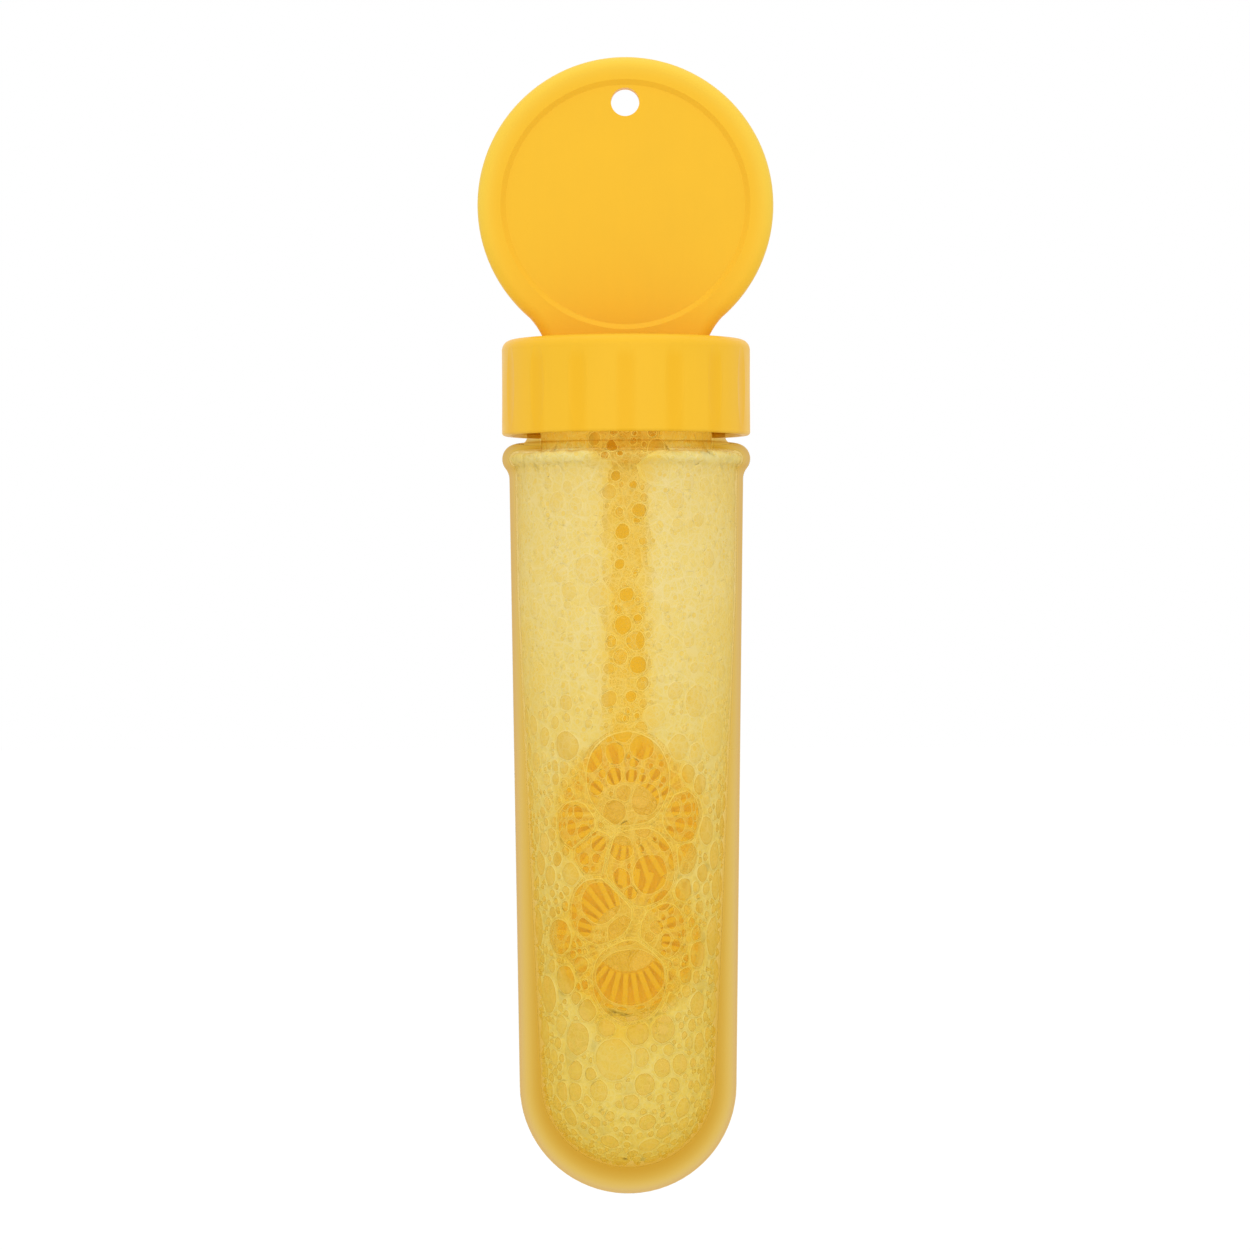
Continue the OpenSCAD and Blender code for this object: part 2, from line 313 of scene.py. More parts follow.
def cap_material():
    """Yellow plastic with a painted shade in the hollows of its flutes and a painted light on the tag's
    rim, that lets lamplight through.
    """
    plastics = settings("bottle_plastics")
    material = moulded_material("yellow plastic", plastics.cap_colour, plastics.gloss, shine=0.12)
    tree = material.node_tree
    shader = next(n for n in tree.nodes if n.type == "BSDF_PRINCIPLED")
    output = next(n for n in tree.nodes if n.type == "OUTPUT_MATERIAL")
    low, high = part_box("screw_cap")
    tag_r = high[0]
    tag_z = high[2] - tag_r
    skirt_low, skirt_top = low[2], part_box("seal_washer")[1][2]
    flute_fade = (-0.1, 1.0)
    top_fade = (skirt_top + 0.5 * MM, skirt_top - 1.5 * MM)
    foot_fade = (skirt_low + 0.5 * MM, skirt_low + 2 * MM)
    rim_light_fade = (tag_r - 2.6 * MM, tag_r)
    rim_light_rise = (-13 * MM, 2 * MM)

    place = add_node(tree, "TexCoord")["Object"]
    x, y, z = follow("SeparateXYZ", {0: place})
    turn = times(maths("ARCTAN2", y, x), float(plastics.flutes))
    # Painted shade in the hollows of the flutes, fading out at the skirt's top and foot.
    flute_shade = stepped(maths("COSINE", turn), *flute_fade)
    for fade in (top_fade, foot_fade):
        flute_shade = times(flute_shade, stepped(z, *fade))
    # Painted light on the tag's rim, stronger towards the top of the tag.
    rise = maths("SUBTRACT", z, tag_z)
    away = maths("SQRT", sloped(x, x, times(rise, rise)))
    rim = times(stepped(away, *rim_light_fade), stepped(rise, *rim_light_rise))

    colour = shader.inputs["Base Color"].links[0].from_socket
    colour = blended(flute_shade, colour, tuple(plastics.flute_shade_colour))
    colour = blended(rim, colour, tuple(plastics.rim_light_colour))
    tree.links.new(colour, shader.inputs["Base Color"])
    lit = let_light_in(shader.outputs[0], plastics.glow)
    tree.links.new(lit, output.inputs["Surface"])
    return material


def clear_material():
    """Clear amber plastic that tints the light along its way through the wall.

    The foam wets the wall, so light is hardly bent. A grazing look at the outer side is tinted more."""
    plastics = settings("bottle_plastics")
    wave_scale, wave_stretch, wave_height = 210.0, (1.0, 1.0, 0.25), 0.12 * MM
    haze_scale, haze_range, clean, haze = 420.0, (0.3, 0.8), 0.03, 0.05
    grazing_range, bend = (0.55, 0.9), 1.002
    coat, coat_rough, coat_bend = 0.06, 0.05, 1.45

    material, tree = new_material("clear amber plastic")
    spot = add_node(tree, "TexCoord")
    place, normal = spot["Object"], spot["Normal"]
    stretched = follow("Mapping", {"Vector": place, "Scale": wave_stretch})[0]
    waves = noise(stretched, wave_scale, 1.0)
    rough = stepped(noise(place, haze_scale, 3.0), *haze_range)
    rough = sloped(rough, haze, clean)
    lift = follow("Bump", {"Height": waves, "Strength": 0.3, "Distance": wave_height})

    front = rest(add_node(tree, "NewGeometry")["Backfacing"])
    x, y, _ = follow("SeparateXYZ", {0: place})
    outward = follow("CombineXYZ", {"X": x, "Y": y})[0]
    toward = follow("VectorMath", {0: normal, 1: outward}, operation="DOT_PRODUCT")
    outside = times(front, maths("GREATER_THAN", toward["Value"], 0.0))
    facing = add_node(tree, "LayerWeight", {"Blend": 0.5})["Facing"]
    grazing = times(stepped(facing, *grazing_range), outside)
    colour = blended(grazing, tuple(plastics.skin_tint), tuple(plastics.edge_tint))
    shader = follow("BsdfPrincipled", {
        "Base Color": colour, "Roughness": rough, "Normal": lift[0], "IOR": bend,
        "Transmission Weight": 1.0, "Coat Weight": times(front, coat),
        "Coat Roughness": coat_rough, "Coat IOR": coat_bend,
    })
    lit = let_light_in(shader[0], (1, 1, 1))
    depth = {"Color": (*plastics.tint, 1), "Density": plastics.tint_depth}
    inside = add_node(tree, "VolumeAbsorption", depth)
    follow("OutputMaterial", {"Surface": lit, "Volume": inside[0]})
    return material


# Kinds of the foam mesh's faces.
FINE, OUTLINE, FILM, FILM_EDGE = 0.0, 1.0, 2.0, 3.0


def foam_group():
    """Lace of fine foam, films and outlines of bubbles, from the kind of each face of the mesh."""
    tree, given, made = new_group(
        "soap foam cells",
        dict.fromkeys(("Fine", "Film", "Border", "High tint", "Wand tint"), "Color"),
        {"Colour": "Color", "Cover": "Float", "Height": "Float"},
    )
    # Features per metre of each pattern.
    lace_scales, bead_scale, strand_scale = (950.0, 2300.0), 1250.0, 180.0
    cloud_scale, drift_scale, patch_scale = 230.0, 170.0, 110.0
    # Distances from a cell's edge, in cells, at which a line starts and at which it is full.
    lace_width, strand_width, bead_width = (0.13, 0.02), (0.028, 0.008), (0.09, 0.02)
    bead_sizes, bead_r, bead_edge = (0.35, 0.95), 0.46, (-0.02, 0.06)
    cloud_range, patch_range, gap_range = (0.3, 0.7), (0.46, 0.54), (0.35, 0.6)
    high_range, under_cap_light_range = (20 * MM, 75 * MM), (86.8 * MM, 83.5 * MM)
    strand_bend, edge_shade_colour = 5 * MM, (0.72, 0.52, 0.08)
    # Shares of what each pattern adds to the colour and to the cover.
    close_lace, cloud_lace, tone_shade, cloud_shade, bead_shade = 0.75, -0.55, 0.25, 0.38, 0.75
    edge_shade_share, strand_paint, high_outline = 0.32, 0.7, -0.7
    film_veil, solid_veil, edge_veil, outline_veil, strand_veil = 0.12, 0.4, 0.12, 0.9, 0.6

    kind, hidden, tone, glow = (
        add_node(tree, "Attribute", attribute_name=f"foam_{field}")["Fac"]
        for field in ("kind", "cover", "tone", "glow")
    )
    place = add_node(tree, "TexCoord")["Object"]
    cloud = noise(place, cloud_scale, 2.0)
    clouded = stepped(cloud, *cloud_range)

    def at_least(face_kind):
        """1 on faces of a kind and of the kinds after it."""
        return stepped(kind, face_kind - 0.6, face_kind - 0.4)

    film, edge = at_least(FILM), at_least(FILM_EDGE)
    outline = maths("SUBTRACT", at_least(OUTLINE), film)
    solid = rest(film)
    coarse, close = (stepped(voronoi(place, scale)["Distance"], *lace_width) for scale in lace_scales)
    lace = maths("MAXIMUM", coarse, times(close, close_lace))
    lace = times(lace, sloped(clouded, cloud_lace, 1.0))

    beads = voronoi(place, bead_scale, "F1")
    bead_size = stepped(beads["Color"], *bead_sizes)
    depth = maths("SUBTRACT", times(bead_size, bead_r), beads["Distance"])
    bead = stepped(depth, *bead_edge)
    bead_line = times(stepped(maths("ABSOLUTE", depth), *bead_width), bead_size)
    lace = maths("MAXIMUM", times(lace, rest(bead)), bead_line)

    shade = sloped(tone, tone_shade, times(clouded, cloud_shade))
    shade = maths("MAXIMUM", shade, times(bead, bead_shade))
    fine = blended(shade, given["Fine"], given["Film"])
    fine = blended(lace, fine, given["Border"])
    inner_lace = times(lace, sloped(hidden, 0.75, 0.1))
    clear = blended(inner_lace, given["Film"], given["Border"])
    clear = blended(times(hidden, hidden), clear, fine)
    # Painted shade at the edge of each film, where the curved film bends light away; less where the film
    # hides more.
    painted_edge_shade = times(edge, sloped(hidden, -edge_shade_share, edge_shade_share))
    clear = blended(painted_edge_shade, clear, edge_shade_colour)
    colour = blended(film, fine, clear)

    drift = noise(place, drift_scale, 1.0, "Color")
    bent = follow("VectorMath", {0: drift, 1: (strand_bend,) * 3, 2: place}, operation="MULTIPLY_ADD")[0]
    strand = stepped(voronoi(bent, strand_scale)["Distance"], *strand_width)
    strand = times(strand, stepped(noise(place, patch_scale, 1.0), *patch_range))
    strand = times(strand, solid)
    colour = blended(times(strand, strand_paint), colour, given["Border"])
    # The high tint fades out again just under the cap: there the foam is lightened, a painted light
    # against the cap's shade.
    z = follow("SeparateXYZ", {0: place})["Z"]
    height = times(stepped(z, *high_range), stepped(z, *under_cap_light_range))
    strength = sloped(stepped(cloud, *gap_range), 0.6, 0.4)
    strength = times(strength, sloped(height, high_outline, 1.0))
    colour = blended(times(outline, strength), colour, given["Border"])
    # Multiplies the colour by the high tint and by the painted orange glow, the wand's light through the
    # foam and the cap's in the neck.
    for share, tint in ((height, given["High tint"]), (glow, given["Wand tint"])):
        warmth = blended(share, (1.0, 1.0, 1.0), tint)
        colour = follow("VectorMath", {0: colour, 1: warmth}, operation="MULTIPLY")[0]
    tree.links.new(colour, made["Colour"])

    veil = times(lace, sloped(solid, solid_veil, film_veil))
    veil = sloped(edge, edge_veil, veil)
    for line, share in ((outline, outline_veil), (strand, strand_veil)):
        veil = maths("MAXIMUM", veil, times(line, share))
    shown = times(rest(hidden), rest(veil))
    tree.links.new(rest(shown), made["Cover"])
    tree.links.new(times(maths("SUBTRACT", lace, bead), solid), made["Height"])
    return tree


def foam_material():
    """Foam that hides what is behind it except through its bubbles, and lets light into the tube."""
    foam = settings("bottle_foam")
    bump, bump_height, shine, soft_light = 0.4, 0.06 * MM, 0.15, 0.12
    material, tree = new_material("soap foam")
    colours = {
        "Fine": foam.fine_colour, "Film": foam.film_colour, "Border": foam.border_colour,
        "High tint": foam.high_tint, "Wand tint": foam.painted_glow_tint,
    }
    colours = {name: (*colour, 1) for name, colour in colours.items()}
    cells = add_node(tree, "Group", colours, node_tree=foam_group())
    lift = follow("Bump", {"Height": cells["Height"], "Strength": bump, "Distance": bump_height})
    shader = follow("BsdfPrincipled", {
        "Base Color": cells["Colour"], "Roughness": 0.4, "Normal": lift[0],
        "IOR": 1.33, "Specular IOR Level": shine,
    })
    through = follow("BsdfTranslucent", {"Color": cells["Colour"]})
    body = mixed(soft_light, shader[0], through[0])
    film = add_node(tree, "BsdfTransparent", {"Color": (*foam.film_tint, 1)})
    seen = mixed(cells["Cover"], film[0], body)
    lit = let_light_in(seen, (1, 1, 1), ["Is Diffuse Ray"])
    follow("OutputMaterial", {"Surface": lit})
    return material


def dress(node, material):
    """Gives a CAD node one material in all its slots."""
    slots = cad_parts[node].data.materials
    slots.clear()
    slots.append(material)


def new_object(name, data):
    """Object in the scene."""
    piece = bpy.data.objects.new(name, data)
    bpy.context.scene.collection.objects.link(piece)
    return piece


def ride_piece(mesh, material, body):
    """Object of a mesh that rides on a body."""
    mesh.materials.append(material)
    piece = new_object(mesh.name, mesh)
    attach(piece, body)
    return piece


def thread_piece(name, radius, side, turns, start_z, material, body):
    """Screw thread with tapered ends on a round wall. Side 1 stands outwards, and -1 inwards."""
    threads = settings("bottle_threads")
    # Places round the thread's section, in shares of its width and of its height.
    section = [(0.5, -0.12), (0.22, 0.8), (0.1, 1.0), (-0.1, 1.0), (-0.22, 0.8), (-0.5, -0.12)]
    end_height, end_width, tapers_per_turn, steps_per_turn = 0.1, 0.35, 6, 72
    count = max(8, int(turns * steps_per_turn))
    points = []
    for i in range(count + 1):
        along = i / count
        ease = min(1.0, min(along, 1 - along) * turns * tapers_per_turn)
        ease = ease * ease * (3 - 2 * ease)
        angle = along * turns * 2 * math.pi
        for across, out in section:
            out *= between(end_height, 1.0, ease) if out > 0 else 1
            r = radius + side * threads.height * out
            across *= threads.width * between(end_width, 1.0, ease)
            z = start_z + threads.pitch * turns * along + across
            points.append((r * math.cos(angle), r * math.sin(angle), z))
    n = len(section)
    faces = [tuple(range(n))[::-1], tuple(range(count * n, count * n + n))]
    for i in range(count):
        for j in range(n):
            a, b = i * n + j, i * n + (j + 1) % n
            faces.append((a, b, b + n, a + n))
    mesh = bpy.data.meshes.new(name)
    mesh.from_pydata(points, [], [face[::side] for face in faces])
    mesh.validate()
    mesh.shade_smooth()
    ride_piece(mesh, material, body)


def vertex_places(node):
    """Places of a CAD node's vertices, one to a row."""
    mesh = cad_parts[node].data
    places = np.empty(len(mesh.vertices) * 3)
    mesh.vertices.foreach_get("co", places)
    return places.reshape(-1, 3)


def ring_radius(node, z_low, z_high, pick):
    """Radius of a CAD node's wall between two heights, by its least or largest vertex."""
    places = vertex_places(node)
    near = places[(places[:, 2] > z_low) & (places[:, 2] < z_high)]
    if not len(near):
        raise RuntimeError(f"{node} has no wall between {z_low} and {z_high}")
    return float(pick(np.hypot(near[:, 0], near[:, 1])))


def foam_outline():
    """Outer profile of the CAD foam from the pole up, its well's radius and floor, and its top.

    The profile has a radius and a height in each row."""
    same_row, same, apart = 2e-6, 1e-5, 1e-4
    places = vertex_places("soap_foam")
    radius, height = np.hypot(places[:, 0], places[:, 1]), places[:, 2]
    top = height.max()
    well_r = radius[height > top - same].min()
    well_z = height[np.abs(radius - well_r) < same].min()
    outer = (height < well_z - same) | (radius > well_r + apart)
    rows = {(round(float(h), 6), round(float(r), 6)) for h, r in zip(height[outer], radius[outer])}
    profile = []
    for h, r in sorted(rows):
        if profile and h - profile[-1][0] < same_row:
            profile[-1] = (h, max(r, profile[-1][1]))
        else:
            profile.append((h, r))
    shape = np.array([(r, h) for h, r in profile])
    if shape[0, 0] > apart:
        shape = np.vstack([[0, shape[0, 1]], shape])
    return shape, float(well_r), float(well_z), float(top)


def resampled(shape, spacing):
    """Points along a profile at even steps, with the unit normals on its right-hand side."""
    steps = np.hypot(*np.diff(shape, axis=0).T)
    along = np.concatenate([[0], np.cumsum(steps)])
    places = np.linspace(0, along[-1], int(along[-1] / spacing) + 1)
    points = np.stack([np.interp(places, along, shape[:, i]) for i in range(2)], axis=1)
    slope = np.gradient(points, axis=0)
    slope /= np.maximum(np.hypot(slope[:, 0], slope[:, 1]), 1e-9)[:, None]
    return points, np.stack([slope[:, 1], -slope[:, 0]], axis=1)


class FoamSkin:
    """The foam's closed outline laid flat, with angle across and length over radius along.

    Circles stay round on it. It runs from the tube's bottom up the wall, into the neck and down the
    wand's well to the well's round bottom."""

    spacing, bowl_steps, bowl_room = 0.1 * MM, 40, 0.5 * MM
    relief_heights = (25 * MM, 60 * MM)

    def __init__(self, pole_r, neck_r, neck_rise, low_relief, relief):
        outline, well_r, well_z, top = foam_outline()
        rim = top + neck_rise
        turns = np.linspace(0.0, math.pi / 2, self.bowl_steps)
        bowl_z, bowl_depth = well_z + well_r, well_r + self.bowl_room
        bowl = [(well_r * math.cos(a), bowl_z - bowl_depth * math.sin(a)) for a in turns]
        inside = [(neck_r, top), (neck_r, rim), (well_r, rim), *bowl]
        points, normals = resampled(np.vstack([outline, inside]), self.spacing)
        kept = np.where(points[:, 0] > pole_r)[0]
        self.points, self.normals = points[kept[0]:kept[-1] + 1], normals[kept[0]:kept[-1] + 1]
        steps = np.hypot(*np.diff(self.points, axis=0).T)
        middle = (self.points[1:, 0] + self.points[:-1, 0]) / 2
        self.along = np.concatenate([[0.0], np.cumsum(steps / middle)])
        area = np.cumsum(steps * middle)
        self.area = area / area[-1]
        self.rim_row = int(np.argmax(self.points[:, 1]))
        self.well_r = well_r
        depth = np.interp(self.points[:, 1], self.relief_heights, (low_relief, relief))
        self.depth = np.where(np.arange(len(depth)) < self.rim_row, depth, relief)

    def row_at(self, z, in_well):
        """Row of the outer wall or of the well at a height."""
        first = int(np.argmax(self.points[self.rim_row:, 0] < self.well_r + 1e-6)) + self.rim_row
        rows = self.points[first:, 1] if in_well else self.points[:self.rim_row, 1]
        return int(np.argmin(np.abs(rows - z))) + (first if in_well else 0)

    def place(self, angle, along, sunk):
        """Points in space from angles, ways along and shares of the relief's depth."""
        lift = -sunk * np.interp(along, self.along, self.depth)
        rows = (*self.points.T, *self.normals.T)
        r, z, out, up = (np.interp(along, self.along, row) for row in rows)
        r, z = r + out * lift, z + up * lift
        return np.stack([r * np.cos(angle), r * np.sin(angle), z], axis=1)


@dataclass
class Cell:
    """A bubble or a patch of fine foam. Its flat radius is its radius over the skin's own."""

    angle: float
    along: float
    radius: float
    flat: float
    window: bool
    cover: float
    fine_cover: float
    tone: float


def turned(angle):
    """Angle brought between half a turn back and half a turn on."""
    return (angle + math.pi) % (2 * math.pi) - math.pi


class CellGrid:
    """Cells sorted into squares of the flat skin, so that neighbours are found quickly."""

    # How far round a cell others can crowd it or share an edge with it.
    crowd_reach, edge_reach = 0.42, 0.5
    columns = 25
    step = 2 * math.pi / columns

    def __init__(self):
        self.cells, self.squares = [], {}

    def add(self, cell):
        """Keeps a cell in its square."""
        self.cells.append(cell)
        key = (int(cell.angle // self.step) % self.columns, int(cell.along // self.step))
        self.squares.setdefault(key, []).append(cell)

    def near(self, angle, along, reach):
        """Cells in the squares within a reach of a place, and some beyond."""
        span = int(reach / self.step) + 1
        column, row = int(angle // self.step), int(along // self.step)
        for i in range(-span, span + 1):
            for j in range(-span, span + 1):
                yield from self.squares.get(((column + i) % self.columns, row + j), ())

    def crowded(self, angle, along, flat, press):
        """Whether a new cell would press too far into one that is there."""
        return any(
            math.hypot(turned(angle - c.angle), along - c.along) < press * (flat + c.flat)
            for c in self.near(angle, along, flat + self.crowd_reach)
        )


# The wand's outline from the front: its rings, its stem and the cap's socket.
RING_HEIGHTS, RING_R = (29.6 * MM, 44.05 * MM), 8.2 * MM
STEM_FOOT, STEM_HALF, SOCKET_FOOT, SOCKET_HALF = 44 * MM, 2.2 * MM, 84.7 * MM, 3.8 * MM

# Where the foam has a painted orange glow, the wand's light through it: a spot under the rings, the neck
# (the cap's light) and the well.
SPOT_Z, SPOT_R, NECK_FOOT, WELL_PAINTED_GLOW = 22.6 * MM, 4.2 * MM, 86.9 * MM, 0.5

# Shares of the painted glow and of the clear films at the wand's outline, and the widths over which they
# fade.
PAINTED_GLOW_EDGE, PAINTED_GLOW_FADE, COVER_EDGE, COVER_FADE = 0.75, 2 * MM, 0.4, 1.5 * MM

# Height in millimetres where the foam starts to turn fine, and the way up to where it is.
LARGE_TOP, FINE_WAY = 42, 20

# What fine foam hides in the well and on the wall, low and high on the tube, and before the wand.
WELL_COVER, WALL_COVER, WAND_COVER = (0.5, 0.25), (0.9, 0.95), 0.4

# What the clearest films beside the wand hide, low and high, and what the cloudiest hide beyond that.
FILM_COVER, FILM_CLOUD = (0.28, 0.84), (0.4, 0.13)

# How much clearer the films before the stem are than those before the rings.
STEM_CLEARING = 0.7


def beside_wand(x, z):
    """Distances of places on the wall from the wand's outline; less than 0 before the wand."""
    low_ring, high_ring = (np.hypot(x, z - height) - RING_R for height in RING_HEIGHTS)
    rings = np.minimum(low_ring, high_ring)
    stem = np.abs(x) - np.where(z > SOCKET_FOOT, SOCKET_HALF, STEM_HALF)
    return np.where(z < STEM_FOOT, rings, np.minimum(rings, stem))


def painted_wand_glow(x, z, in_well):
    """How much painted orange glow the foam has, from 0 to 1: the wand's light through it, and in the
    neck the cap's.
    """
    away = np.minimum(beside_wand(x, z), np.hypot(x, z - SPOT_Z) - SPOT_R)
    outside = np.where(z > NECK_FOOT, 1.0, np.clip(PAINTED_GLOW_EDGE - away / PAINTED_GLOW_FADE, 0.0, 1.0))
    return np.where(in_well, WELL_PAINTED_GLOW, outside)


def going_up(z):
    """0 low on the tube, where bubbles are large and clear, to 1 high up, where the foam is fine."""
    return min(1.0, max(0.0, (z / MM - LARGE_TOP) / FINE_WAY))


def hidden_share(x, z, in_well, window, tint, film_cover):
    """How much a bubble's film or a patch of fine foam hides of what is behind it."""
    up = going_up(z)
    film_cover *= 1 - STEM_CLEARING * up
    if in_well:
        return film_cover * (1 + tint) if window else between(*WELL_COVER, up)
    before = float(np.clip(COVER_EDGE - beside_wand(x, z) / COVER_FADE, 0.0, 1.0))
    if window:
        aside = between(*(clear + cloud * tint for clear, cloud in zip(FILM_COVER, FILM_CLOUD)), up)
        return between(aside, film_cover * (1 + 2 * tint * tint), before)
    return between(between(*WALL_COVER, up), WAND_COVER, before)


def scatter_cells(chance, skin, placed, sizes, film_cover):
    """Cells on the skin: the placed bubbles, then the rest from the largest size to the smallest."""
    press, widest, placed_tint, small_more = 0.9, 0.4, 0.2, 1.5
    bottom_z, bottom_largest = 16 * MM, 1.4 * MM
    grid = CellGrid()

    def keep(row, x, z, angle, radius, in_well, window, tint, tone):
        """Adds a cell, with what it and the fine foam round it hide."""
        covers = (hidden_share(x, z, in_well, kind, tint, film_cover) for kind in (window, False))
        flat = radius / skin.points[row, 0]
        grid.add(Cell(angle, skin.along[row], radius, flat, window, *covers, tone))

    for x, z, radius, in_well in placed:
        x, z, radius = x * MM, z * MM, radius * MM
        row = skin.row_at(z, in_well)
        angle = math.asin(x / skin.points[row, 0]) - math.pi / 2
        keep(row, x, z, angle, radius, in_well, True, placed_tint, chance.random())
    for smallest, largest, tries, low, high, well, window in sizes:
        for _ in range(tries):
            row = int(np.searchsorted(skin.area, chance.random()))
            angle, luck = chance.uniform(-math.pi, math.pi), chance.random()
            radius = between(smallest, largest, chance.random() ** small_more) * MM
            tone, tint = chance.random(), chance.random()
            r, z = skin.points[row]
            in_well = row >= skin.rim_row
            share = well if in_well else between(low, high, going_up(z))
            flat = radius / r
            too_large = flat > widest or (z < bottom_z and radius > bottom_largest)
            if luck > share or too_large or grid.crowded(angle, skin.along[row], flat, press):
                continue
            keep(row, r * math.cos(angle), z, angle, radius, in_well, window, tint, tone)
    return grid


def clipped(corners, x, y, reach):
    """Part of a convex polygon on the near side of the line across (x, y)."""
    kept = []
    for (ax, ay), (bx, by) in zip(corners, corners[1:] + corners[:1]):
        a, b = reach - ax * x - ay * y, reach - bx * x - by * y
        if a >= 0:
            kept.append((ax, ay))
        if (a >= 0) != (b >= 0):
            t = a / (a - b)
            kept.append((ax + t * (bx - ax), ay + t * (by - ay)))
    return kept


def cell_corners(cell, grid, low, high):
    """Corners, about a cell's middle, of the share of the skin that it has among its neighbours."""
    lines = [(0.0, 1.0, high - cell.along), (0.0, -1.0, cell.along - low)]
    for other in grid.near(cell.angle, cell.along, cell.flat + grid.edge_reach):
        x, y = turned(other.angle - cell.angle), other.along - cell.along
        gap = x * x + y * y
        if gap > TINY:
            half = math.sqrt(gap)
            lines.append((x / half, y / half, (gap + cell.flat ** 2 - other.flat ** 2) / (2 * half)))
    lines.sort(key=lambda line: line[2])
    corners = [(-1.0, -1.0), (1.0, -1.0), (1.0, 1.0), (-1.0, 1.0)]
    for x, y, reach in lines:
        if not corners or reach > max(math.hypot(*c) for c in corners):
            break
        corners = clipped(corners, x, y, reach)
    return corners


def wall_distance(corners, angles):
    """Distance from the middle to the cell's edge at each angle, or None where the middle is outside."""
    ends = np.array(corners)
    sides = np.roll(ends, -1, axis=0) - ends
    nx, ny = sides[:, 1], -sides[:, 0]
    off = nx * ends[:, 0] + ny * ends[:, 1]
    if off.min() <= 0:
        return None
    toward = np.outer(np.cos(angles), nx) + np.outer(np.sin(angles), ny)
    return np.where(toward > TINY, off / np.maximum(toward, TINY), np.inf).min(axis=1)


